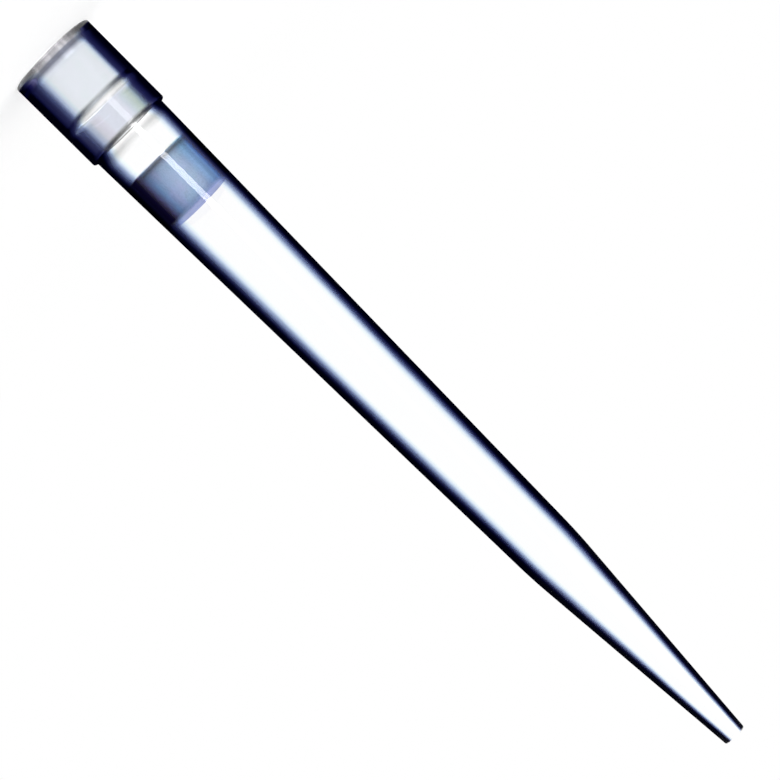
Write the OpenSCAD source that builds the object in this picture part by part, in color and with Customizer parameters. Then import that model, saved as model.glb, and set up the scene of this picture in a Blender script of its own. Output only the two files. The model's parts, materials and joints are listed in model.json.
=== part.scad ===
// Filter pipette tip, large volume. It stands on its mouth rim: the rim's
// plane is z = 0, the tip's axis is Z, and the orifice is at the top.
// Millimetres.

/* [Overall] */
// Length of the tip, from the mouth rim to the orifice
tip_length = 150; // [120:1:200]
// Length of the steep dispensing cone at the orifice end
cone_length = 39.7; // [25:0.1:60]
// Radius that blends the long body into the cone, on the outside
kink_blend = 90; // [10:5:150]

/* [Walls] */
// Wall of the collar at the mouth, above the lead-in
collar_wall = 1; // [0.7:0.05:1.5]
// Wall of the body, from the collar to the cone
body_wall = 0.85; // [0.5:0.05:1]
// Wall at the orifice
orifice_wall = 0.78; // [0.5:0.01:1]

/* [Nozzle socket] */
// Diameter of the sealing land, where the pipette's nozzle is gripped
seal_bore = 12.7; // [10:0.1:16]
// Depth of the ledge that leads the nozzle into the sealing land, from the rim
ledge_depth = 10.5; // [6:0.1:13]
// How far the socket stands back from the sealing land at the ledge, on the radius
ledge_step = 0.25; // [0.1:0.05:0.4]
// How much the socket opens from the ledge to the lead-in, on the radius
socket_draft = 0.1; // [0:0.05:0.2]
// Depth of the lead-in at the mouth
lead_in_depth = 1.5; // [0.5:0.1:3]
// How much the lead-in opens the mouth, on the radius
lead_in_flare = 0.3; // [0.1:0.05:0.4]

/* [Collar] */
// Height of the collar, from the rim to its shoulder
collar_height = 16.9; // [14:0.1:24]
// How much the collar narrows from the rim to the shoulder, on the radius
collar_draft = 0.08; // [0:0.01:0.15]
// Round on the rim's outer edge
rim_round = 0.2; // [0.05:0.05:0.3]
// Round on the shoulder's outer edge
shoulder_round = 0.25; // [0.05:0.05:0.3]
// Fillet where the shoulder meets the body
shoulder_fillet = 0.15; // [0.05:0.05:0.2]

/* [Bore] */
// Step from the sealing land in to the body's bore, on the radius
seal_step = 0.2; // [0.05:0.05:0.4]
// Diameter of the bore at the kink, where the cone starts
kink_bore = 8.5; // [6:0.1:9.5]
// Diameter of the orifice
orifice_bore = 2.3; // [1:0.1:4]
// Length of the straight bore behind the orifice
orifice_land = 1.2; // [0.5:0.1:4]
// Round on the outside of the orifice's lip
lip_round = 0.3; // [0.05:0.05:0.4]
// Round on the inside of the orifice's lip
lip_inner_round = 0.12; // [0.02:0.02:0.14]

/* [Filter plug] */
// Distance from the collar's shoulder to the filter
filter_gap = 6.5; // [2:0.1:12]
// Length of the filter
filter_length = 9.3; // [5:0.1:14]
// Gap between the filter and the bore, on the radius: none, as it is pressed in
filter_fit = 0; // [0:0.01:0.05]
// Chamfer on the filter's edges
filter_chamfer = 0.3; // [0.1:0.05:0.6]

/* [Hidden] */
round_facets = 96;
arc_steps = 6;

// The socket and the bore, from the sealing land out and in
seal_r = seal_bore / 2;
socket_r = seal_r + ledge_step;
mouth_r = socket_r + socket_draft;
bore_r = seal_r - seal_step;
kink_r = kink_bore / 2;
orifice_r = orifice_bore / 2;

// The outside, a wall away from the bore
rim_r = mouth_r + collar_wall;
shoulder_r = rim_r - collar_draft;
body_r = bore_r + body_wall;
kink_outer_r = kink_r + body_wall;
lip_r = orifice_r + orifice_wall;

// Heights
kink_z = tip_length - cone_length;
land_z = tip_length - orifice_land;
seal_z = ledge_depth + ledge_step;
bore_z = collar_height + seal_step;
filter_z = collar_height + filter_gap;

// Radius of the body's bore at height z, between the sealing land and the kink
function body_bore_r(z) = bore_r + (kink_r - bore_r) * (z - bore_z) / (kink_z - bore_z);

function unit(v) = v / norm(v);
function turned(v, angle) =
    [v[0] * cos(angle) - v[1] * sin(angle), v[0] * sin(angle) + v[1] * cos(angle)];

// The points of an arc of this radius that rounds the corner at q, on the way from p to s
function corner(p, q, s, radius) =
    let (
        heading = unit(q - p),
        leaving = unit(s - q),
        turn = acos(heading * leaving),
        hand = sign(cross(heading, leaving)),
        start = q - radius * tan(turn / 2) * heading,
        centre = start + radius * hand * turned(heading, 90)
    )
    [for (i = [0:arc_steps]) centre + turned(start - centre, hand * turn * i / arc_steps)];

// A closed outline of [radius, height, rounding] points, with each corner rounded as it says
function rounded(points) =
    let (
        count = len(points),
        at = [for (p = points) [p[0], p[1]]]
    )
    [
        for (i = [0:count - 1])
            each points[i][2] == 0
                ? [at[i]]
                : corner(at[(i + count - 1) % count], at[i], at[(i + 1) % count], points[i][2])
    ];

// The wall's section, up the outside from the rim to the lip and back down the bore
wall_section = [
    [rim_r, 0, rim_round],
    [shoulder_r, collar_height, shoulder_round],
    [body_r, collar_height, shoulder_fillet],
    [kink_outer_r, kink_z, kink_blend],
    [lip_r, tip_length, lip_round],
    [orifice_r, tip_length, lip_inner_round],
    [orifice_r, land_z, 0],
    [kink_r, kink_z, kink_blend - body_wall],
    [bore_r, bore_z, 0],
    [seal_r, collar_height, 0],
    [seal_r, seal_z, 0],
    [socket_r, ledge_depth, 0],
    [mouth_r, lead_in_depth, 0],
    [mouth_r + lead_in_flare, 0, 0],
];

// The one-piece moulding: collar, nozzle socket, body, cone and orifice
module tip_body() {
    color("aliceblue", 0.4)
        rotate_extrude($fn = round_facets)
            polygon(rounded(wall_section));
}

// The porous plug, wedged in the bore's taper
module filter_plug() {
    top_z = filter_z + filter_length;
    low_r = body_bore_r(filter_z) - filter_fit;
    top_r = body_bore_r(top_z) - filter_fit;
    color("lightsteelblue")
        rotate_extrude($fn = round_facets)
            polygon([
                [0, filter_z],
                [low_r - filter_chamfer, filter_z],
                [body_bore_r(filter_z + filter_chamfer) - filter_fit, filter_z + filter_chamfer],
                [body_bore_r(top_z - filter_chamfer) - filter_fit, top_z - filter_chamfer],
                [top_r - filter_chamfer, top_z],
                [0, top_z],
            ]);
}

tip_body();
filter_plug();
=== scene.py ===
"""Looks of the filter pipette tip: its clear moulding, its sintered plug, the studio and the camera."""

import json
import math

import bmesh
import bpy
from mathutils import Matrix, Vector


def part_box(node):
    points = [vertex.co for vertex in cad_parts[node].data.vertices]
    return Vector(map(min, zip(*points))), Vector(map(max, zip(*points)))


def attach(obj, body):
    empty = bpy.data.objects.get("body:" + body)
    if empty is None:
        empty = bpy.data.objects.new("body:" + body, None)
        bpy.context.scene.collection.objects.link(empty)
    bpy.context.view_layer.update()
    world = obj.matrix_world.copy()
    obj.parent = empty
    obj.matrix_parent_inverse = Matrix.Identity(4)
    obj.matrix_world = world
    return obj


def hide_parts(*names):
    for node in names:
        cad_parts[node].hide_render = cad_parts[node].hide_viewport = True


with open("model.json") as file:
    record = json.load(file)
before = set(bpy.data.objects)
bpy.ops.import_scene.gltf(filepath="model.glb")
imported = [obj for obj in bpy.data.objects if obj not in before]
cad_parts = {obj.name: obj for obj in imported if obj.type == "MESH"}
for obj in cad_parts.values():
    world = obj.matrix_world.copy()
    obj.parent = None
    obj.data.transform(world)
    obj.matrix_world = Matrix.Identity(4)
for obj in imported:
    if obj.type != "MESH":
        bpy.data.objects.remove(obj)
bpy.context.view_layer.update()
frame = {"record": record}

MM = 0.001
MOUNTS = {mount["name"]: mount for mount in frame["record"]["mounts"]}
TIP_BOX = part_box("tip_body")
FILTER_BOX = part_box("filter_plug")

# Sizes that the frame gives
TIP_LENGTH = TIP_BOX[1].z
SEAL_R = MOUNTS["nozzle_socket"]["dims"]["r_mm"] * MM
SEAL_LENGTH = MOUNTS["nozzle_socket"]["dims"]["length_mm"] * MM
SEAL_START = MOUNTS["nozzle_socket"]["pos_m"][2] - SEAL_LENGTH / 2
SHOULDER_Z = MOUNTS["rack_shoulder"]["pos_m"][2]
FILTER_START = FILTER_BOX[0].z
FILTER_END = FILTER_BOX[1].z

# The rest of the moulding's section
CONE_LENGTH = 39.7 * MM
COLLAR_WALL = 1.0 * MM
BODY_WALL = 0.85 * MM
ORIFICE_WALL = 0.78 * MM
LEDGE_STEP = 0.25 * MM
SOCKET_DRAFT = 0.1 * MM
LEAD_IN_DEPTH = 1.5 * MM
LEAD_IN_FLARE = 0.3 * MM
COLLAR_DRAFT = 0.08 * MM
SEAL_STEP = 0.2 * MM
KINK_R = 4.25 * MM
ORIFICE_R = 1.15 * MM
ORIFICE_LAND = 1.2 * MM
RIM_ROUND = 0.2 * MM
SHOULDER_ROUND = 0.3 * MM
SHOULDER_FILLET = 0.28 * MM
LIP_ROUND = 0.3 * MM
LIP_INNER_ROUND = 0.12 * MM
LAND_ROUND = 0.4 * MM
KINK_SPREAD = 2.6 * MM
STEP_LENGTH = 1.4 * MM
STEP_ROUND = 0.4 * MM
SEAL_END_ROUND = 0.13 * MM
LEDGE_ROUND = 0.17 * MM
LEAD_IN_ROUND = 0.1 * MM
MOUTH_EDGE_ROUND = 0.05 * MM

BORE_R = SEAL_R - SEAL_STEP
BORE_START = SHOULDER_Z + SEAL_STEP
KINK_Z = TIP_LENGTH - CONE_LENGTH
SOCKET_R = SEAL_R + LEDGE_STEP
MOUTH_R = SOCKET_R + SOCKET_DRAFT
RIM_R = MOUTH_R + COLLAR_WALL
BODY_R = BORE_R + BODY_WALL

# The plug, with air round it so that its side and the wall don't lie in one place
FILTER_CHAMFER = 0.3 * MM
FILTER_AIR = 0.04 * MM

# Fineness of the meshes: steps round the axis and round a corner, and the furthest between rings
LATHE_STEPS = 192
ROUND_STEPS = 8
TIP_RINGS = 2.5 * MM
PLUG_RINGS = 0.4 * MM
MERGE_DISTANCE = 1e-7

# Outside of the wall: how far in its mark reaches at the shoulder, and how fast it fades at the ends
SKIN_MARGIN = 0.1 * MM
MOUTH_FADE = 2
ORIFICE_FADE = 4

# Substance and surface of the clear plastic, and the scale of the painted streaks of light at the mouth
CLEAR = (1.0, 1.0, 1.0)
PLASTIC_IOR = 1.49
PLASTIC_TINT = (0.80, 0.90, 1.0)
PLASTIC_DENSITY = 18
HAZE = 0.05
POLISH_HEIGHT = 0.004 * MM
FLOW_SCALE = 900
POLISH_SCALE = 7000
CLOUD_SCALE = 420
STREAK_SCALE = 4

# Painted dark edges of the clear plastic: where they change along the tip, and how much the painted
# shade on the side of X and the stepped collar shift them
MOUTH_END = 1.7 * MM
NECK_END = 24 * MM
# Painted shade on the side of X: how far it shifts the dark edge, and how it fades round the side
SIDE_SHADE_OFFSET = 0.097
SIDE_SHADE_FADE = 0.148
BEND = 0.4
NO_BEND = 0.5

# Finish of the plug, and the painted shade on its top face
GRAIN_SCALE = 4200
GRAIN_HEIGHT = 0.03 * MM
SPECK_SCALE = 9000
DRIFT_SCALE = 330
PAINTED_PLUG_TOP_SHADE = (0.235, 0.29, 0.58)

# Studio, in metres and watts
WHITE = (1.0, 1.0, 1.0)
AMBIENT = 0.35
FLOOR_GREY = 0.85
FLOOR_RADIUS = 2.5
PANEL_SIZE = 1.6
KEY_PLACE = (-0.58, -0.90, 0.95)
KEY_POWER = 18
BACK_PLACE = (0.45, 0.80, 1.0)
BACK_POWER = 9.6
STRIP_PLACE = (-0.0377, -0.1)
STRIP_WIDTH = 0.031
STRIP_MIDDLE = 0.211
STRIP_LENGTH = 0.4
STRIP_POWER = 0.425
FOOT_MIDDLE = 0.006
FOOT_LENGTH = 0.009
FOOT_POWER = 0.0035

# Camera
CAMERA_DISTANCE = 0.56
CAMERA_LEFT = 0.166 * MM
CAMERA_DROP = 0.98 * MM
LENS_MM = 166.19
SENSOR_MM = 36
TILT_DEGREES = 44.90


def bore_radius(z):
    """Radius of the body's bore at height z, between the sealing land and the kink."""
    return BORE_R + (KINK_R - BORE_R) * (z - BORE_START) / (KINK_Z - BORE_START)


# ---------------------------------------------------------------- meshes


def new_piece(name, bm, material):
    """A finished piece at the origin from a bmesh, riding on the tip."""
    mesh = bpy.data.meshes.new(name)
    bm.to_mesh(mesh)
    bm.free()
    mesh.materials.append(material)
    piece = bpy.data.objects.new(name, mesh)
    bpy.context.scene.collection.objects.link(piece)
    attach(piece, "root")
    return piece


def draw(bm, points, closed):
    """Joins (radius, height) points by edges, and the last to the first if closed."""
    verts = [bm.verts.new((radius, 0, z)) for radius, z in points]
    following = verts[1:] + verts[:1] if closed else verts[1:]
    for start, end in zip(verts, following):
        bm.edges.new((start, end))
    return verts


def outline(bm, corners):
    """A loop of edges through (radius, height, rounding) corners, each rounded by that setback."""
    verts = draw(bm, [(radius, z) for radius, z, _ in corners], closed=True)
    for vert, (_, _, rounding) in zip(verts, corners):
        bmesh.ops.bevel(
            bm, geom=[vert], offset=rounding, affect="VERTICES",
            segments=ROUND_STEPS, profile=0.5, material=-1,
        )


def divide_long_edges(bm, longest):
    """Splits edges until none is longer, so that the lathed skin has even rings."""
    for edge in list(bm.edges):
        cuts = math.ceil(edge.calc_length() / longest) - 1
        if cuts > 0:
            bmesh.ops.subdivide_edges(bm, edges=[edge], cuts=cuts)


def lathe(bm):
    """Turns the outline round Z into a closed skin."""
    bmesh.ops.spin(
        bm, geom=bm.verts[:] + bm.edges[:], cent=(0, 0, 0), axis=(0, 0, 1), dvec=(0, 0, 0),
        angle=2 * math.pi, steps=LATHE_STEPS, use_merge=True, use_duplicate=False,
    )
    bmesh.ops.remove_doubles(bm, verts=bm.verts, dist=MERGE_DISTANCE)
    bmesh.ops.recalc_face_normals(bm, faces=bm.faces)
    for face in bm.faces:
        face.smooth = True


def on_shoulder(vert, radius):
    """Whether this is part of the step from the collar to the body, outside the bore."""
    return abs(vert.co.z - SHOULDER_Z) < SHOULDER_ROUND and radius > BODY_R - SKIN_MARGIN


def mark_skins(bm):
    """Marks the outside of the wall with 1 in outer_skin, fading where it rounds over the two ends."""
    skin = bm.verts.layers.float.new("outer_skin")
    bm.normal_update()
    for vert in bm.verts:
        level = Vector((vert.co.x, vert.co.y, 0))
        outwards = max(0.0, level.normalized().dot(vert.normal))
        at_orifice = vert.co.z > TIP_LENGTH - 2 * LIP_ROUND
        fading = outwards ** (ORIFICE_FADE if at_orifice else MOUTH_FADE)
        vert[skin] = 1.0 if on_shoulder(vert, level.length) else fading


def tip_moulding(material):
    """The one-piece moulding, lathed from its wall's section."""
    step_end = BORE_START + STEP_LENGTH
    bm = bmesh.new()
    outline(bm, [
        (RIM_R, 0, RIM_ROUND),
        (RIM_R - COLLAR_DRAFT, SHOULDER_Z, SHOULDER_ROUND),
        (BODY_R, SHOULDER_Z, SHOULDER_FILLET),
        (KINK_R + BODY_WALL, KINK_Z, KINK_SPREAD),
        (ORIFICE_R + ORIFICE_WALL, TIP_LENGTH, LIP_ROUND),
        (ORIFICE_R, TIP_LENGTH, LIP_INNER_ROUND),
        (ORIFICE_R, TIP_LENGTH - ORIFICE_LAND, LAND_ROUND),
        (KINK_R, KINK_Z, KINK_SPREAD),
        (bore_radius(step_end), step_end, STEP_ROUND),
        (SEAL_R, SHOULDER_Z, SEAL_END_ROUND),
        (SEAL_R, SEAL_START, LEDGE_ROUND),
        (SOCKET_R, SEAL_START - LEDGE_STEP, LEDGE_ROUND),
        (MOUTH_R, LEAD_IN_DEPTH, LEAD_IN_ROUND),
        (MOUTH_R + LEAD_IN_FLARE, 0, MOUTH_EDGE_ROUND),
    ])
    divide_long_edges(bm, TIP_RINGS)
    lathe(bm)
    mark_skins(bm)
    piece = new_piece("moulded_tip", bm, material)
    weighted = piece.modifiers.new("even_normals", "WEIGHTED_NORMAL")
    weighted.keep_sharp = True
    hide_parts("tip_body")
    return piece


def sintered_plug(material):
    """The filter plug, tapered as the bore is, with its edges chamfered."""
    low_edge = FILTER_START + FILTER_CHAMFER
    high_edge = FILTER_END - FILTER_CHAMFER
    bm = bmesh.new()
    draw(bm, [
        (0, FILTER_START),
        (bore_radius(FILTER_START) - FILTER_CHAMFER - FILTER_AIR, FILTER_START),
        (bore_radius(low_edge) - FILTER_AIR, low_edge),
        (bore_radius(high_edge) - FILTER_AIR, high_edge),
        (bore_radius(FILTER_END) - FILTER_CHAMFER - FILTER_AIR, FILTER_END),
        (0, FILTER_END),
    ], closed=False)
    divide_long_edges(bm, PLUG_RINGS)
    lathe(bm)
    piece = new_piece("sintered_filter", bm, material)
    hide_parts("filter_plug")
    return piece


# ---------------------------------------------------------------- shader helpers


def node(tree, kind, **settings):
    """A new shader node of this kind."""
    made = tree.nodes.new(kind)
    for name, value in settings.items():
        setattr(made, name, value)
    return made


def feed(tree, socket, value):
    """Sets a socket to a number or colour, or links it to another node's output."""
    if isinstance(value, (int, float)):
        socket.default_value = value
    elif isinstance(value, tuple):
        wants_alpha = len(value) == 3 and len(socket.default_value) == 4
        socket.default_value = (*value, 1) if wants_alpha else value
    else:
        tree.links.new(value, socket)


def colour_of(value):
    """A colour as it is, or the grey that a single number stands for."""
    return value if isinstance(value, tuple) else (value, value, value)


def ramp(tree, factor, stops, interpolation="LINEAR"):
    """A colour ramp through (position, colour) stops, where a single number is a grey."""
    made = node(tree, "ShaderNodeValToRGB")
    band = made.color_ramp
    band.interpolation = interpolation
    band.elements.remove(band.elements[-1])
    for index, (position, colour) in enumerate(stops):
        stop = band.elements[0] if index == 0 else band.elements.new(position)
        stop.position = position
        stop.color = (*colour_of(colour), 1)
    tree.links.new(factor, made.inputs[0])
    return made.outputs[0]


def maths(tree, operation, first, second):
    """A sum, product or other operation on two numbers."""
    made = node(tree, "ShaderNodeMath", operation=operation)
    feed(tree, made.inputs[0], first)
    feed(tree, made.inputs[1], second)
    return made.outputs[0]


def vector_maths(tree, operation, first, second):
    """An operation on two vectors."""
    made = node(tree, "ShaderNodeVectorMath", operation=operation)
    feed(tree, made.inputs[0], first)
    feed(tree, made.inputs[1], second)
    return made.outputs[0]


def blend(tree, factor, first, second, kind="MIX"):
    """The first colour where the factor is 0, the second where it is 1."""
    made = node(tree, "ShaderNodeMix", data_type="RGBA", blend_type=kind)
    feed(tree, made.inputs[0], factor)
    feed(tree, made.inputs[6], first)
    feed(tree, made.inputs[7], second)
    return made.outputs[2]


def times(tree, first, second):
    """Two colours multiplied."""
    return blend(tree, 1.0, first, second, "MULTIPLY")


def clear_but(tree, part, tint):
    """Clear where part is 0, and the tint where it is 1."""
    return blend(tree, part, CLEAR, tint)


def here(tree):
    """The point of the piece that is being shaded."""
    return node(tree, "ShaderNodeTexCoord").outputs["Object"]


def height(tree):
    """How high the point is above the mouth."""
    parts = node(tree, "ShaderNodeSeparateXYZ")
    tree.links.new(here(tree), parts.inputs[0])
    return parts.outputs["Z"]


def stretch(tree, value, low, high):
    """0 at low, 1 at high."""
    made = node(tree, "ShaderNodeMapRange")
    for name, number in (("From Min", low), ("From Max", high), ("To Min", 0), ("To Max", 1)):
        made.inputs[name].default_value = number
    tree.links.new(value, made.inputs["Value"])
    return made.outputs[0]


def along_axis(tree, stops):
    """A colour that changes with height, from (height in millimetres, colour) stops."""
    low, high = stops[0][0], stops[-1][0]
    part = stretch(tree, height(tree), low * MM, high * MM)
    return ramp(tree, part, [((z - low) / (high - low), colour) for z, colour in stops])


def outward(tree):
    """The unit vector from the axis towards the point, lying level."""
    level = vector_maths(tree, "MULTIPLY", here(tree), (1, 1, 0))
    return vector_maths(tree, "NORMALIZE", level, (0, 0, 0))


def between(tree, value, low, high):
    """low where the value is 0, high where it is 1."""
    made = node(tree, "ShaderNodeMapRange")
    made.inputs["To Min"].default_value = low
    made.inputs["To Max"].default_value = high
    tree.links.new(value, made.inputs["Value"])
    return made.outputs[0]


def noise(tree, place, scale, detail=2.0, roughness=0.5):
    """Uneven patches, from 0 to 1."""
    made = node(tree, "ShaderNodeTexNoise")
    tree.links.new(place, made.inputs["Vector"])
    made.inputs["Scale"].default_value = scale
    made.inputs["Detail"].default_value = detail
    made.inputs["Roughness"].default_value = roughness
    return made.outputs["Fac"]


def raised(tree, relief, depth, invert=False):
    """The normal of a surface that this relief raises by up to this depth, or sinks if inverted."""
    made = node(tree, "ShaderNodeBump", invert=invert)
    made.inputs["Strength"].default_value = 1
    made.inputs["Distance"].default_value = depth
    tree.links.new(relief, made.inputs["Height"])
    return made.outputs["Normal"]


def mix_shaders(tree, factor, first, second):
    """The first shader where the factor is 0, the second where it is 1."""
    mix = node(tree, "ShaderNodeMixShader")
    tree.links.new(factor, mix.inputs[0])
    tree.links.new(first.outputs[0], mix.inputs[1])
    tree.links.new(second.outputs[0], mix.inputs[2])
    return mix


# ---------------------------------------------------------------- clear polypropylene


def edge_on(tree, direction=None):
    """How edge on the surface, or another direction, is seen: 0 square on, 1 edge on."""
    made = node(tree, "ShaderNodeLayerWeight")
    made.inputs["Blend"].default_value = 0.5
    if direction is not None:
        tree.links.new(direction, made.inputs["Normal"])
    return made.outputs["Facing"]


def round_the_side(tree):
    """How far round the side of the tube the wall is seen, from any height: 0 in the middle."""
    along_ring = vector_maths(tree, "CROSS_PRODUCT", outward(tree), (0, 0, 1))
    offset = maths(tree, "SUBTRACT", 1.0, edge_on(tree, along_ring))
    left = maths(tree, "SUBTRACT", 1.0, maths(tree, "MULTIPLY", offset, offset))
    turned = maths(tree, "SUBTRACT", 1.0, maths(tree, "SQRT", left, 0))
    return maths(tree, "MINIMUM", turned, edge_on(tree))


def towards_x(tree):
    """1 on the side of X, -1 on the other side."""
    parts = node(tree, "ShaderNodeSeparateXYZ")
    tree.links.new(outward(tree), parts.inputs[0])
    return parts.outputs["X"]


def x_half(tree, spread=0.3):
    """1 on the half of the tube that faces X and 0 on the other half, blended over this spread."""
    return stretch(tree, towards_x(tree), -spread, spread)


def off_square(tree):
    """1 round most of the tube, and less where the wall faces X squarely."""
    return ramp(tree, towards_x(tree), [(0.8, 1), (0.95, 0.35)])


def side_share(tree):
    """Share of the side of X in a blend of the tube's two sides."""
    return maths(tree, "MULTIPLY", x_half(tree), off_square(tree))


def either_side(tree, away_from_x, side_of_x):
    """One ramp round the side that faces away from X, another round the side of X."""
    turned = round_the_side(tree)
    return blend(tree, side_share(tree), ramp(tree, turned, away_from_x), ramp(tree, turned, side_of_x))


def flow_lines(tree):
    """Faint lengthwise streaks, as plastic leaves when it fills a mould."""
    drawn_out = vector_maths(tree, "MULTIPLY", here(tree), (1, 1, 0.06))
    return noise(tree, drawn_out, FLOW_SCALE, 3, 0.6)


def painted_side_offset(tree, turned):
    """Painted shade on the side of X: what it adds to how far round the wall is seen, most of all in
    the middle.
    """
    fade = maths(tree, "SUBTRACT", SIDE_SHADE_OFFSET, maths(tree, "MULTIPLY", turned, SIDE_SHADE_FADE))
    fade = maths(tree, "MULTIPLY", maths(tree, "MAXIMUM", fade, 0), painted_side_shade_strength(tree))
    fade = maths(tree, "MULTIPLY", fade, off_square(tree))
    return maths(tree, "MULTIPLY", towards_x(tree), fade)


def slant_through_wall(tree):
    """How aslant the wall is seen: 0 square on, and the higher its gain, the sooner it rises."""
    turned = round_the_side(tree)
    past_neck = maths(tree, "GREATER_THAN", height(tree), NECK_END)
    half_gain = blend(tree, past_neck, head_gain(tree), body_gain(tree))
    seen = maths(tree, "ADD", turned, painted_side_offset(tree, turned))
    slant = maths(tree, "MULTIPLY", maths(tree, "MULTIPLY", seen, half_gain), 2)
    slant = maths(tree, "ADD", slant, collar_bend(tree))
    return maths(tree, "MULTIPLY", slant, between(tree, flow_lines(tree), 0.9, 1.1))


def collar_bend(tree):
    """How much sooner or later than a plain tube the painted shade on the stepped collar darkens
    towards its sides.
    """
    # These stops are sooner above NO_BEND and later below it, because a ramp can't go below 0
    beside_x = [
        (0.1, 0.5), (0.156, 0.46), (0.215, 0.49), (0.287, 0.39), (0.33, 0.30), (0.379, 0.19),
        (0.435, 0.34), (0.5, 0.75),
    ]
    cone = either_side(tree, [
        (0.1, 0.5), (0.18, 0.3875), (0.215, 0.3675), (0.25, 0.40), (0.287, 0.5), (0.33, 0.62),
        (0.38, 0.66), (0.435, 0.70), (0.5, 0.62),
    ], beside_x)
    land = either_side(tree, [
        (0.18, 0.5), (0.215, 0.525), (0.287, 0.575), (0.379, 0.75), (0.5, 0.8),
    ], beside_x)
    past_ledge = along_axis(tree, [(10.2, 0), (11.2, 1)])
    on_collar = along_axis(tree, [(2.0, 0), (3.0, 1), (16.2, 1), (16.6, 0)])
    bend = maths(tree, "SUBTRACT", blend(tree, past_ledge, cone, land), NO_BEND)
    bend = maths(tree, "MULTIPLY", bend, on_collar)
    return maths(tree, "MULTIPLY", maths(tree, "ADD", bend, ledge_bend(tree)), BEND)


def ledge_bend(tree):
    """The painted shade at the socket's ledge darkens sooner than on the rest of the collar."""
    turned = round_the_side(tree)
    away_from_x = ramp(tree, turned, [
        (0.215, 0), (0.25, 0.05), (0.287, 0.22), (0.379, 0.45), (0.5, 0.45),
    ])
    side_of_x = ramp(tree, turned, [
        (0.12, 0), (0.156, 0.07), (0.215, 0.12), (0.287, 0.22), (0.33, 0.30), (0.379, 0.38),
        (0.435, 0.30), (0.5, 0.10),
    ])
    away_from_x = times(tree, away_from_x, along_axis(tree, [
        (10.1, 0), (10.35, 1), (10.9, 1), (11.25, 0),
    ]))
    side_of_x = times(tree, side_of_x, along_axis(tree, [
        (10.2, 0), (10.5, 1), (11.2, 1), (11.9, 0),
    ]))
    return blend(tree, side_share(tree), away_from_x, side_of_x)


def head_gain(tree):
    """Half the gain of the slant down the collar and past the shoulder."""
    return along_axis(tree, [
        (0, 0.15), (0.45, 0.25), (0.7, 0.38), (0.9, 0.57), (1.2, 0.60), (1.6, 0.76), (10.6, 0.76),
        (11.1, 0.58), (11.8, 0.58), (12.6, 0.70), (16.6, 0.73), (17.4, 0.62), (18.1, 0.56),
        (18.7, 0.498), (19.4, 0.475), (22.4, 0.475), (23.2, 0.497), (24, 0.497),
    ])


def body_gain(tree):
    """Half the gain of the slant from the neck to the orifice."""
    return along_axis(tree, [
        (24, 0.497), (40, 0.49), (48, 0.51), (60, 0.525), (78, 0.541), (94, 0.562), (101, 0.588),
        (109, 0.59), (115, 0.615), (122, 0.617), (128, 0.64), (134, 0.71), (140, 0.77), (145, 0.84),
        (148, 0.93), (150, 0.99),
    ])


def painted_side_shade_strength(tree):
    """How much wider the painted dark edge is on the side of X, as painted shade from one side; the
    wall is the same all round.
    """
    return along_axis(tree, [
        (15, 0.95), (18.4, 0.95), (19.2, 0.85), (22.4, 0.85), (23.2, 1), (42, 1), (48, 0.9),
        (62, 0.47), (72, 0.28), (88, 0.4), (100, 0.6), (112, 0.52), (128, 0.55), (141, 0.38),
        (150, 0.65),
    ])


def painted_edge_shade(tree, slant):
    """Painted shade of the wall's edges: clear, then blue-grey, then navy."""
    return ramp(tree, slant, [
        (0.165, (1, 1, 1)), (0.20, (0.90, 0.97, 0.985)), (0.24, (0.72, 0.81, 0.916)),
        (0.26, (0.56, 0.676, 0.843)), (0.30, (0.33, 0.419, 0.615)), (0.36, (0.139, 0.197, 0.40)),
        (0.41, (0.066, 0.118, 0.268)), (0.45, (0.01, 0.02, 0.12)), (0.55, (0, 0, 0.03)),
    ])


def edge_depth(tree, slant):
    """Where the wall is seen so aslant that a painted dark rim shows instead of what lies behind."""
    return ramp(tree, slant, [
        (0.28, 0), (0.33, 0.15), (0.38, 0.5), (0.42, 0.8), (0.46, 0.95), (0.50, 1),
    ])


def ring_depth(tree, slant):
    """The painted dark rings at the ledge and at the shoulder hide part of what lies behind, save
    square on.
    """
    aslant = ramp(tree, slant, [(0.1, 0), (0.22, 0.42), (0.3, 0.5)])
    on_rings = along_axis(tree, [
        (9.8, 0), (10.15, 0.6), (10.4, 1), (10.65, 1), (11.0, 0), (16.5, 0), (16.8, 0.7),
        (17.05, 0.7), (17.3, 0),
    ])
    return maths(tree, "MULTIPLY", aslant, on_rings)


def wall_rim(tree, slant):
    """Colour of the painted dark rim on the plain wall: navy to black, and a paler navy down the thick
    collar.
    """
    body = ramp(tree, slant, [
        (0.36, (0.012, 0.016, 0.10)), (0.45, (0.007, 0.009, 0.055)), (0.53, (0.0008, 0.001, 0.013)),
        (0.62, (0, 0.0002, 0.004)),
    ])
    collar = ramp(tree, slant, [
        (0.40, (0.03, 0.034, 0.12)), (0.47, (0.016, 0.018, 0.075)), (0.56, (0.009, 0.010, 0.055)),
        (0.65, (0.005, 0.006, 0.040)), (0.74, (0.002, 0.002, 0.016)),
        (0.85, (0.0002, 0.0002, 0.004)),
    ])
    return blend(tree, maths(tree, "LESS_THAN", height(tree), SHOULDER_Z), body, collar)


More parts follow.
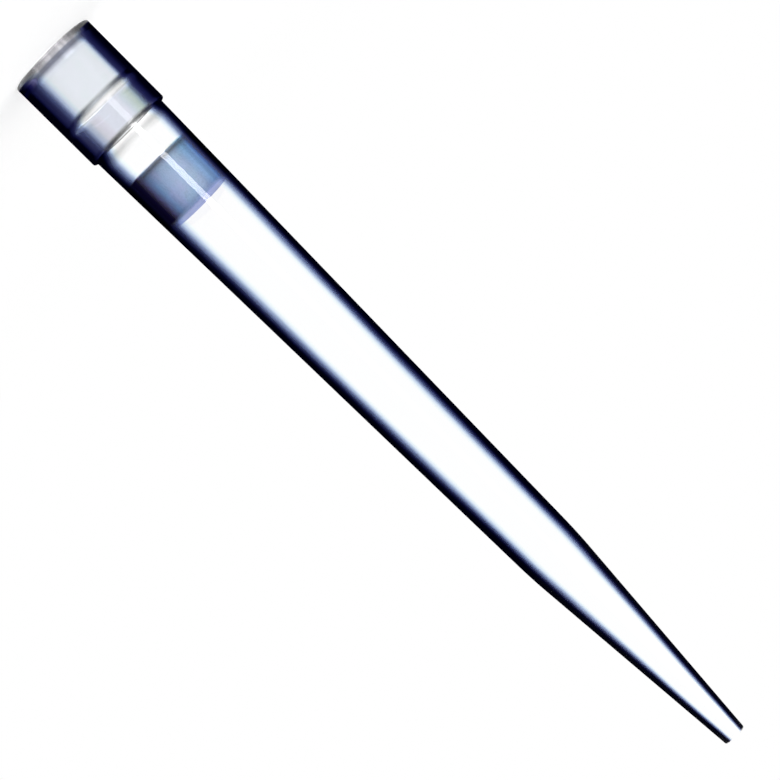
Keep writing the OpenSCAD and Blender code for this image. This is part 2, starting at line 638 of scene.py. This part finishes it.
def rim_colour(tree, slant):
    """Colour of the painted dark rim: darker beside the filter, violet at the lead-in, dimmed at the
    mouth.
    """
    rim = wall_rim(tree, slant)
    dimming = either_side(tree, [
        (0.44, 1), (0.68, (0.3, 0.15, 0.2)),
    ], [
        (0.13, 1), (0.24, (0.3, 0.15, 0.2)),
    ])
    rim = blend(tree, beside_filter(tree), rim, times(tree, rim, dimming))
    rim = blend(tree, lead_in_rim(tree), rim, ramp(tree, slant, [
        (0.35, (0.25, 0.24, 0.60)), (0.43, (0.10, 0.095, 0.25)), (0.49, (0.062, 0.060, 0.17)),
        (0.55, (0.018, 0.017, 0.10)), (0.64, (0.006, 0.0055, 0.06)), (0.75, (0, 0, 0.02)),
    ]))
    lip_dimming = either_side(tree, [
        (0.38, 1), (0.48, (0.1, 0.1, 0.2)),
    ], [
        (0.38, 1), (0.5, (0.5, 0.5, 0.45)),
    ])
    at_mouth = maths(tree, "LESS_THAN", height(tree), MOUTH_END)
    return blend(tree, at_mouth, rim, times(tree, rim, lip_dimming))


def lead_in_rim(tree):
    """1 where the lead-in shows violet in the painted rim, on the side of X."""
    side = stretch(tree, towards_x(tree), 0.3, 0.5)
    on_lead_in = along_axis(tree, [(1.15, 0), (1.45, 1), (1.9, 1), (2.5, 0)])
    return maths(tree, "MULTIPLY", side, on_lead_in)


def collar_haze_and_shade(tree):
    """Bands down the collar: painted shade at the mouth and the lead-in, and grey on the conical socket
    and the sealing land, partly the thick collar's own haze and partly painted shade; clear just past
    the ledge and at the shoulder.
    """
    return along_axis(tree, [
        (0, (0.48, 0.47, 0.50)), (0.6, (0.50, 0.49, 0.52)), (0.9, (0.57, 0.56, 0.59)),
        (1.2, (0.55, 0.55, 0.60)), (1.45, (0.21, 0.22, 0.28)), (1.9, (0.15, 0.16, 0.22)),
        (2.3, (0.42, 0.44, 0.52)), (2.8, (0.73, 0.77, 0.85)), (3.6, (0.79, 0.825, 0.878)),
        (10.9, (0.79, 0.825, 0.878)), (11.2, (1, 1, 1)), (11.7, (1, 1, 1)),
        (12.2, (0.703, 0.729, 0.822)), (16.4, (0.703, 0.729, 0.822)), (16.9, (1, 1, 1)),
    ])


def ring_lines(tree, slant):
    """Painted shade: soft dark rings at the socket's ledge, at the shoulder and at the step in the
    bore.
    """
    square_on = along_axis(tree, [
        (9.9, 1), (10.11, 0.89), (10.27, 0.72), (10.42, 0.53), (10.57, 0.485), (10.73, 0.495),
        (10.88, 0.6), (11.03, 0.68), (11.19, 0.79), (11.34, 0.89), (11.5, 0.95), (11.7, 0.97),
        (11.95, 0.9), (12.2, 1), (16.25, 1), (16.4, 0.93), (16.55, 0.67), (16.71, 0.39),
        (16.87, 0.27), (16.95, 0.23), (17.08, 0.24), (17.22, 0.36), (17.38, 0.95), (17.5, 1),
        (17.8, 1), (18.02, 0.91), (18.17, 0.86), (18.45, 0.82), (18.63, 0.8), (18.8, 0.84),
        (19.0, 0.9), (19.5, 1),
    ])
    aslant = along_axis(tree, [
        (9.9, 1), (10.11, 0.8), (10.27, 0.43), (10.42, 0.17), (10.57, 0.14), (10.73, 0.19),
        (10.88, 0.27), (11.03, 0.33), (11.19, 0.44), (11.34, 0.6), (11.5, 0.73), (11.65, 0.72),
        (11.8, 0.6), (11.95, 0.7), (12.15, 1), (16.25, 1), (16.4, 0.83), (16.55, 0.57),
        (16.71, 0.2), (16.87, 0.055), (16.95, 0.02), (17.08, 0.02), (17.25, 0.2), (17.4, 0.9),
        (17.56, 1), (17.75, 0.97), (18.15, 0.74), (18.45, 0.63), (18.65, 0.62), (18.95, 0.70),
        (19.4, 0.88), (19.8, 1),
    ])
    leaning = ramp(tree, slant, [(0, 0), (0.075, 0.55), (0.2, 1)])
    return blend(tree, leaning, square_on, aslant)


def socket_shade(tree, slant):
    """Painted shade: the thick wall of the socket greys early towards its sides, most of all at the
    sealing land.
    """
    land = either_side(tree, [
        (0.045, 1), (0.0714, (0.87, 0.92, 0.908)), (0.1088, (0.78, 0.872, 0.785)),
        (0.156, (0.686, 0.765, 0.638)), (0.22, (0.65, 0.69, 0.59)),
    ], [
        (0.012, 1), (0.0214, (0.98, 0.95, 0.947)), (0.0426, (0.922, 0.882, 0.894)),
        (0.0714, (0.868, 0.836, 0.841)), (0.1088, (0.733, 0.716, 0.741)),
        (0.156, (0.70, 0.69, 0.71)), (0.19, (0.67, 0.65, 0.67)),
    ])
    cone = ramp(tree, slant, [
        (0.05, 1), (0.13, 0.965), (0.20, 0.94), (0.245, (0.965, 0.91, 0.91)),
        (0.28, (0.92, 0.87, 0.87)),
    ])
    on_land = along_axis(tree, [(12, 0), (12.8, 1), (16.5, 1), (16.9, 0)])
    on_cone = along_axis(tree, [(2.4, 0), (3.2, 1), (9.8, 1), (10.4, 0)])
    shade = clear_but(tree, on_land, land)
    return times(tree, shade, clear_but(tree, on_cone, cone))


def mouth_shade(tree):
    """Painted shade at the mouth: the lead-in greys towards its sides, with painted streaks of uneven
    light round it.
    """
    sides = either_side(tree, [
        (0.04, 1), (0.107, 0.84), (0.153, 0.58), (0.21, 0.43), (0.30, 0.28), (0.37, 0.22),
        (0.5, (0.26, 0.26, 0.24)),
    ], [
        (0.04, 1), (0.107, 0.72), (0.153, 0.53), (0.21, 0.43), (0.30, 0.43), (0.37, 0.46),
        (0.5, (0.58, 0.58, 0.56)),
    ])
    on_rim = along_axis(tree, [(1.1, 1), (1.6, 0)])
    streaks = ramp(tree, noise(tree, outward(tree), STREAK_SCALE, 3.0, 0.6), [
        (0.36, 0.58), (0.64, 1),
    ])
    on_mouth = along_axis(tree, [(1.2, 1), (1.7, 0.5), (2.4, 0)])
    shade = times(tree, clear_but(tree, on_rim, sides), lip_shade(tree))
    return times(tree, shade, clear_but(tree, on_mouth, streaks))


def lip_shade(tree):
    """Painted shade: the rounded edge of the mouth greys towards its sides, most of all away from X."""
    lip = either_side(tree, [
        (0.12, 1), (0.156, 0.9), (0.215, 0.72), (0.287, 0.40), (0.379, 0.22), (0.5, 0.18),
    ], [
        (0.1, 1), (0.15, 0.74), (0.215, 0.76), (0.287, 0.8), (0.4, 1),
    ])
    on_lip = along_axis(tree, [(0.2, 0), (0.4, 1), (0.8, 1), (1.05, 0)])
    return clear_but(tree, on_lip, lip)


def painted_mouth_glint(tree):
    """Painted highlight: a brighter streak down the mouth, on the side away from X."""
    across = ramp(tree, stretch(tree, towards_x(tree), -0.43, -0.08), [
        (0, 0), (0.3, 1), (0.7, 1), (1, 0),
    ])
    along = along_axis(tree, [(0.15, 0), (0.4, 1), (2.6, 1), (3.2, 0)])
    return between(tree, maths(tree, "MULTIPLY", across, along), 1.0, 1.25)


def collar_clouds(tree):
    """Barely seen clouding of the thick collar."""
    clouds = ramp(tree, noise(tree, here(tree), CLOUD_SCALE, 3.0, 0.6), [
        (0.3, (0.965, 0.985, 0.97)), (0.5, (0.99, 0.99, 0.99)), (0.7, (1, 0.99, 1)),
    ])
    on_collar = along_axis(tree, [(1.5, 0), (2.5, 1), (16.6, 1), (17.2, 0)])
    return clear_but(tree, on_collar, clouds)


def beside_filter(tree):
    """1 where the filter is pressed against the wall."""
    low, high = FILTER_START / MM, FILTER_END / MM
    return along_axis(tree, [
        (low - 0.15, 0), (low + 0.05, 1), (high - 0.7, 1), (high - 0.1, 0),
    ])


def filter_shade(tree):
    """Painted shade on the wall over the filter: darker towards the sides, sooner on the side of X."""
    shade = either_side(tree, [
        (0, 1), (0.051, (0.97, 0.99, 0.94)), (0.106, (0.71, 0.82, 0.83)),
        (0.158, (0.565, 0.776, 0.848)), (0.188, (0.50, 0.745, 0.85)),
        (0.223, (0.364, 0.567, 0.687)), (0.261, (0.36, 0.55, 0.66)), (0.305, (0.46, 0.70, 0.85)),
        (0.355, (0.28, 0.63, 0.88)), (0.412, (0.148, 0.34, 0.508)), (0.55, (0.06, 0.12, 0.25)),
    ], [
        (0, 1), (0.009, (0.88, 0.955, 0.98)), (0.0256, (0.80, 0.854, 0.953)),
        (0.037, (0.787, 0.823, 0.917)), (0.051, (0.664, 0.742, 0.853)),
        (0.067, (0.56, 0.667, 0.813)), (0.0855, (0.444, 0.606, 0.764)),
        (0.106, (0.331, 0.497, 0.70)), (0.131, (0.251, 0.363, 0.55)),
        (0.158, (0.209, 0.264, 0.447)), (0.188, (0.21, 0.195, 0.37)), (0.223, (0.2, 0.078, 0.258)),
        (0.261, (0.16, 0.035, 0.18)), (0.305, (0.07, 0.015, 0.05)), (0.37, (0, 0, 0)),
    ])
    return clear_but(tree, beside_filter(tree), shade)


def filter_depth(tree):
    """Where the wall beside the filter is seen so aslant that only the painted dark rim shows."""
    turned = round_the_side(tree)
    away_from_x = ramp(tree, turned, [(0.5, 0), (0.7, 0.5), (0.9, 0.95)])
    side_of_x = ramp(tree, turned, [
        (0.12, 0), (0.153, 0.1), (0.218, 0.5), (0.257, 0.8), (0.30, 1),
    ])
    depth = blend(tree, x_half(tree), away_from_x, side_of_x)
    return maths(tree, "MULTIPLY", beside_filter(tree), depth)


def mould_polish(tree):
    """Shallow relief of the flow lines and of the mould's lengthwise polishing."""
    drawn_out = vector_maths(tree, "MULTIPLY", here(tree), (1, 1, 0.12))
    scratches = noise(tree, drawn_out, POLISH_SCALE)
    relief = maths(tree, "ADD", maths(tree, "MULTIPLY", scratches, 0.4), flow_lines(tree))
    return raised(tree, relief, POLISH_HEIGHT)


def haze_and_painted_light(tree, slant):
    """Colour of the whole moulding: painted shade at its edges, steps, mouth and over the filter, a
    painted highlight at the mouth, and the collar's clouding and part of its grey as its own haze.
    """
    tint = times(tree, painted_edge_shade(tree, slant), collar_haze_and_shade(tree))
    tint = times(tree, tint, ring_lines(tree, slant))
    tint = times(tree, tint, socket_shade(tree, slant))
    tint = times(tree, tint, mouth_shade(tree))
    # Painted highlight at the mouth
    tint = vector_maths(tree, "MULTIPLY", tint, painted_mouth_glint(tree))
    tint = times(tree, tint, collar_clouds(tree))
    tint = times(tree, tint, filter_shade(tree))
    return times(tree, tint, tint)


def glass_shader(tree, polish, tint):
    """The plastic that light goes through."""
    glass = node(tree, "ShaderNodeBsdfPrincipled")
    glass.inputs["Transmission Weight"].default_value = 1
    glass.inputs["IOR"].default_value = PLASTIC_IOR
    tree.links.new(tint, glass.inputs["Base Color"])
    tree.links.new(between(tree, flow_lines(tree), 0.0, HAZE), glass.inputs["Roughness"])
    tree.links.new(polish, glass.inputs["Normal"])
    return glass


def rim_shader(tree, polish, slant):
    """The painted dark rim, which has no gloss of its own."""
    rim = node(tree, "ShaderNodeBsdfPrincipled")
    rim.inputs["Roughness"].default_value = 1
    rim.inputs["Specular IOR Level"].default_value = 0
    tree.links.new(rim_colour(tree, slant), rim.inputs["Base Color"])
    tree.links.new(polish, rim.inputs["Normal"])
    return rim


def near_skin(tree):
    """1 on the outside of the wall where it faces the viewer."""
    near = maths(tree, "SUBTRACT", 1.0, node(tree, "ShaderNodeNewGeometry").outputs["Backfacing"])
    skin = node(tree, "ShaderNodeAttribute", attribute_name="outer_skin")
    return maths(tree, "MULTIPLY", skin.outputs["Fac"], near)


def rim_depth(tree, slant):
    """How much of what lies behind hides under the painted dark rim."""
    depth = maths(tree, "MAXIMUM", edge_depth(tree, slant), filter_depth(tree))
    return maths(tree, "MAXIMUM", depth, ring_depth(tree, slant))


def plastic_volume(tree):
    """The plastic's own faint tint, which grows with its thickness."""
    volume = node(tree, "ShaderNodeVolumeAbsorption")
    volume.inputs["Color"].default_value = (*PLASTIC_TINT, 1)
    volume.inputs["Density"].default_value = PLASTIC_DENSITY
    return volume


def clear_plastic():
    """Clear polypropylene: glass-like, with painted dark rims and painted shade where the wall is seen
    aslant.
    """
    material = bpy.data.materials.new("clear_polypropylene")
    material.use_nodes = True
    tree = material.node_tree
    tree.nodes.clear()
    polish = mould_polish(tree)
    slant = slant_through_wall(tree)
    skin = near_skin(tree)
    glass = glass_shader(tree, polish, clear_but(tree, skin, haze_and_painted_light(tree, slant)))
    rim = rim_shader(tree, polish, slant)
    surface = mix_shaders(tree, maths(tree, "MULTIPLY", rim_depth(tree, slant), skin), glass, rim)
    out = node(tree, "ShaderNodeOutputMaterial")
    tree.links.new(surface.outputs[0], out.inputs["Surface"])
    tree.links.new(plastic_volume(tree).outputs[0], out.inputs["Volume"])
    return material


# ---------------------------------------------------------------- sintered polyethylene


def painted_plug_shade(tree):
    """Painted shade down the plug: darker at both ends, and near its start darker still on the side of
    X.
    """
    low, high = FILTER_START / MM, FILTER_END / MM
    tip_end = [
        (high - 2.4, (0.94, 0.96, 0.97)), (high - 1.4, (0.80, 0.86, 0.92)),
        (high - 0.7, (0.56, 0.62, 0.76)), (high - 0.2, (0.46, 0.52, 0.72)),
        (high, (0.46, 0.51, 0.74)),
    ]
    away_from_x = along_axis(tree, [
        (low, 0.85), (low + 0.15, 0.76), (low + 0.3, 0.45), (low + 0.42, (0.24, 0.25, 0.26)),
        (low + 0.5, (0.17, 0.18, 0.2)), (low + 0.65, (0.23, 0.25, 0.27)),
        (low + 0.8, (0.40, 0.43, 0.46)), (low + 1.1, (0.68, 0.71, 0.75)),
        (low + 1.4, (0.88, 0.91, 0.93)), (low + 1.7, (0.97, 0.98, 0.99)), (low + 5.4, 1.03),
    ] + tip_end)
    side_of_x = along_axis(tree, [
        (low, 0.6), (low + 0.15, 0.5), (low + 0.3, 0.28), (low + 0.42, (0.13, 0.14, 0.15)),
        (low + 0.5, (0.07, 0.08, 0.1)), (low + 0.65, (0.10, 0.12, 0.15)),
        (low + 0.8, (0.22, 0.25, 0.29)), (low + 1.1, (0.43, 0.46, 0.50)),
        (low + 1.55, (0.66, 0.69, 0.73)), (low + 2.2, (0.80, 0.82, 0.85)),
        (low + 3.1, (0.93, 0.94, 0.95)), (low + 5.4, 1.03),
    ] + tip_end)
    return blend(tree, x_half(tree, 0.5), away_from_x, side_of_x)


def grains(tree):
    """The fused grains, from 0 at their middles to about 1 in the pores between them."""
    made = node(tree, "ShaderNodeTexVoronoi", feature="F1")
    made.inputs["Scale"].default_value = GRAIN_SCALE
    tree.links.new(here(tree), made.inputs["Vector"])
    return made.outputs["Distance"]


def filter_colour(tree):
    """Blue-grey, from teal to violet in broad clouds, with darker pores between the grains, painted
    shade down its length and a darker painted colour on its top face.
    """
    clouds = ramp(tree, noise(tree, here(tree), DRIFT_SCALE), [
        (0.35, (0.312, 0.459, 0.666)), (0.5, (0.335, 0.45, 0.675)), (0.65, (0.362, 0.438, 0.688)),
    ])
    side = times(tree, clouds, painted_plug_shade(tree))
    parts = node(tree, "ShaderNodeSeparateXYZ")
    tree.links.new(node(tree, "ShaderNodeNewGeometry").outputs["Normal"], parts.inputs[0])
    on_top = maths(tree, "GREATER_THAN", parts.outputs["Z"], 0.7)
    # Painted shade: the top face gets a darker violet colour
    colour = blend(tree, on_top, side, PAINTED_PLUG_TOP_SHADE)
    pores = ramp(tree, grains(tree), [(0.2, 1), (0.5, 0.96), (0.9, 0.80)])
    specks = ramp(tree, noise(tree, here(tree), SPECK_SCALE, 2.0, 0.6), [(0.35, 0.92), (0.65, 1)])
    return times(tree, times(tree, colour, pores), specks)


def sintered_plastic():
    """Sintered polyethylene: fused grains with open pores between them."""
    material = bpy.data.materials.new("sintered_polyethylene")
    material.use_nodes = True
    tree = material.node_tree
    shader = tree.nodes["Principled BSDF"]
    tree.links.new(filter_colour(tree), shader.inputs["Base Color"])
    tree.links.new(between(tree, grains(tree), 0.8, 1.0), shader.inputs["Roughness"])
    tree.links.new(raised(tree, grains(tree), GRAIN_HEIGHT, invert=True), shader.inputs["Normal"])
    return material


# ---------------------------------------------------------------- studio


def seen_ray(tree):
    """1 for rays that the picture, its reflections or its refractions are seen by, else 0."""
    path = node(tree, "ShaderNodeLightPath")
    seen = maths(tree, "MAXIMUM", path.outputs["Is Camera Ray"], path.outputs["Is Glossy Ray"])
    seen = maths(tree, "MAXIMUM", seen, path.outputs["Is Transmission Ray"])
    unscattered = maths(tree, "LESS_THAN", path.outputs["Diffuse Depth"], 0.5)
    return maths(tree, "MULTIPLY", seen, unscattered)


def plain_light(tree, kind, colour, strength):
    """A background or an emission of one colour and strength."""
    light = node(tree, kind)
    light.inputs["Color"].default_value = (*colour_of(colour), 1)
    feed(tree, light.inputs["Strength"], strength)
    return light


def studio_world():
    """White where it is seen, and a dimmer even light on everything."""
    world = bpy.data.worlds.new("studio")
    bpy.context.scene.world = world
    world.use_nodes = True
    tree = world.node_tree
    tree.nodes.clear()
    soft = plain_light(tree, "ShaderNodeBackground", WHITE, AMBIENT)
    white = plain_light(tree, "ShaderNodeBackground", WHITE, 1.0)
    out = node(tree, "ShaderNodeOutputWorld")
    mix = mix_shaders(tree, seen_ray(tree), soft, white)
    tree.links.new(mix.outputs[0], out.inputs["Surface"])


def matte_paint(tree, seen):
    """The floor near the tip, which takes its shadow, with a glow that lifts it to white."""
    matte = node(tree, "ShaderNodeBsdfDiffuse")
    matte.inputs["Color"].default_value = (*colour_of(FLOOR_GREY), 1)
    glow = plain_light(tree, "ShaderNodeEmission", 1 - FLOOR_GREY, seen)
    both = node(tree, "ShaderNodeAddShader")
    tree.links.new(matte.outputs[0], both.inputs[0])
    tree.links.new(glow.outputs[0], both.inputs[1])
    return both


def far_away(tree):
    """0.5 near the tip, rising to 1 out on the floor."""
    distance = node(tree, "ShaderNodeVectorMath", operation="LENGTH")
    tree.links.new(here(tree), distance.inputs[0])
    return ramp(tree, distance.outputs["Value"], [(0.1, 0.5), (0.45, 1)], "EASE")


def pale_floor():
    """Pale grey near the tip, fading to plain white further out."""
    material = bpy.data.materials.new("pale_floor")
    material.use_nodes = True
    tree = material.node_tree
    tree.nodes.clear()
    seen = seen_ray(tree)
    white = plain_light(tree, "ShaderNodeEmission", WHITE, 1.0)
    whiteness = maths(tree, "MULTIPLY", far_away(tree), seen)
    mix = mix_shaders(tree, whiteness, matte_paint(tree, seen), white)
    out = node(tree, "ShaderNodeOutputMaterial")
    tree.links.new(mix.outputs[0], out.inputs["Surface"])
    return material


def studio_floor(material):
    """A round floor that the tip stands on."""
    bm = bmesh.new()
    bmesh.ops.create_circle(bm, cap_ends=True, segments=96, radius=FLOOR_RADIUS)
    mesh = bpy.data.meshes.new("studio_floor")
    bm.to_mesh(mesh)
    bm.free()
    mesh.materials.append(material)
    floor = bpy.data.objects.new("studio_floor", mesh)
    bpy.context.scene.collection.objects.link(floor)


def panel_light(name, place, aim, width, length, power):
    """A rectangular lamp that faces the aim and is itself not seen."""
    lamp = bpy.data.lights.new(name, "AREA")
    lamp.shape = "RECTANGLE"
    lamp.size = width
    lamp.size_y = length
    lamp.energy = power
    light = bpy.data.objects.new(name, lamp)
    bpy.context.scene.collection.objects.link(light)
    light.location = place
    light.rotation_mode = "QUATERNION"
    light.rotation_quaternion = (Vector(aim) - Vector(place)).to_track_quat("-Z", "Y")
    light.visible_camera = False
    return light


def strip_light(name, middle, length, power):
    """A narrow upright lamp that shows only as a highlight down the tip, with its middle this high."""
    light = panel_light(name, (*STRIP_PLACE, middle), (0, 0, middle), STRIP_WIDTH, length, power)
    light.visible_diffuse = False
    light.visible_transmission = False


def studio_lights():
    """Two soft panels, and two strips for the highlight, of which the short one is at the foot."""
    middle = (0, 0, TIP_LENGTH / 2)
    panel_light("key", KEY_PLACE, middle, PANEL_SIZE, PANEL_SIZE, KEY_POWER)
    panel_light("back", BACK_PLACE, middle, PANEL_SIZE, PANEL_SIZE, BACK_POWER)
    strip_light("strip", STRIP_MIDDLE, STRIP_LENGTH, STRIP_POWER)
    strip_light("strip_foot", FOOT_MIDDLE, FOOT_LENGTH, FOOT_POWER)


# ---------------------------------------------------------------- camera


def make_camera():
    """Level with the tip's middle, rolled so that the tip runs from top left down to bottom right."""
    data = bpy.data.cameras.new("camera")
    data.sensor_width = SENSOR_MM
    data.lens = LENS_MM
    camera = bpy.data.objects.new("camera", data)
    bpy.context.scene.collection.objects.link(camera)
    level = Matrix.Rotation(math.radians(90), 4, "X")
    roll = Matrix.Rotation(math.radians(90 + TILT_DEGREES), 4, "Z")
    place = Matrix.Translation((-CAMERA_LEFT, -CAMERA_DISTANCE, TIP_LENGTH / 2 - CAMERA_DROP))
    camera.matrix_world = place @ level @ roll
    bpy.context.scene.camera = camera


make_camera()
studio_world()
studio_floor(pale_floor())
studio_lights()
tip_moulding(clear_plastic())
sintered_plug(sintered_plastic())
bpy.context.scene.view_settings.view_transform = "Standard"
bpy.context.scene.cycles.blur_glossy = 0
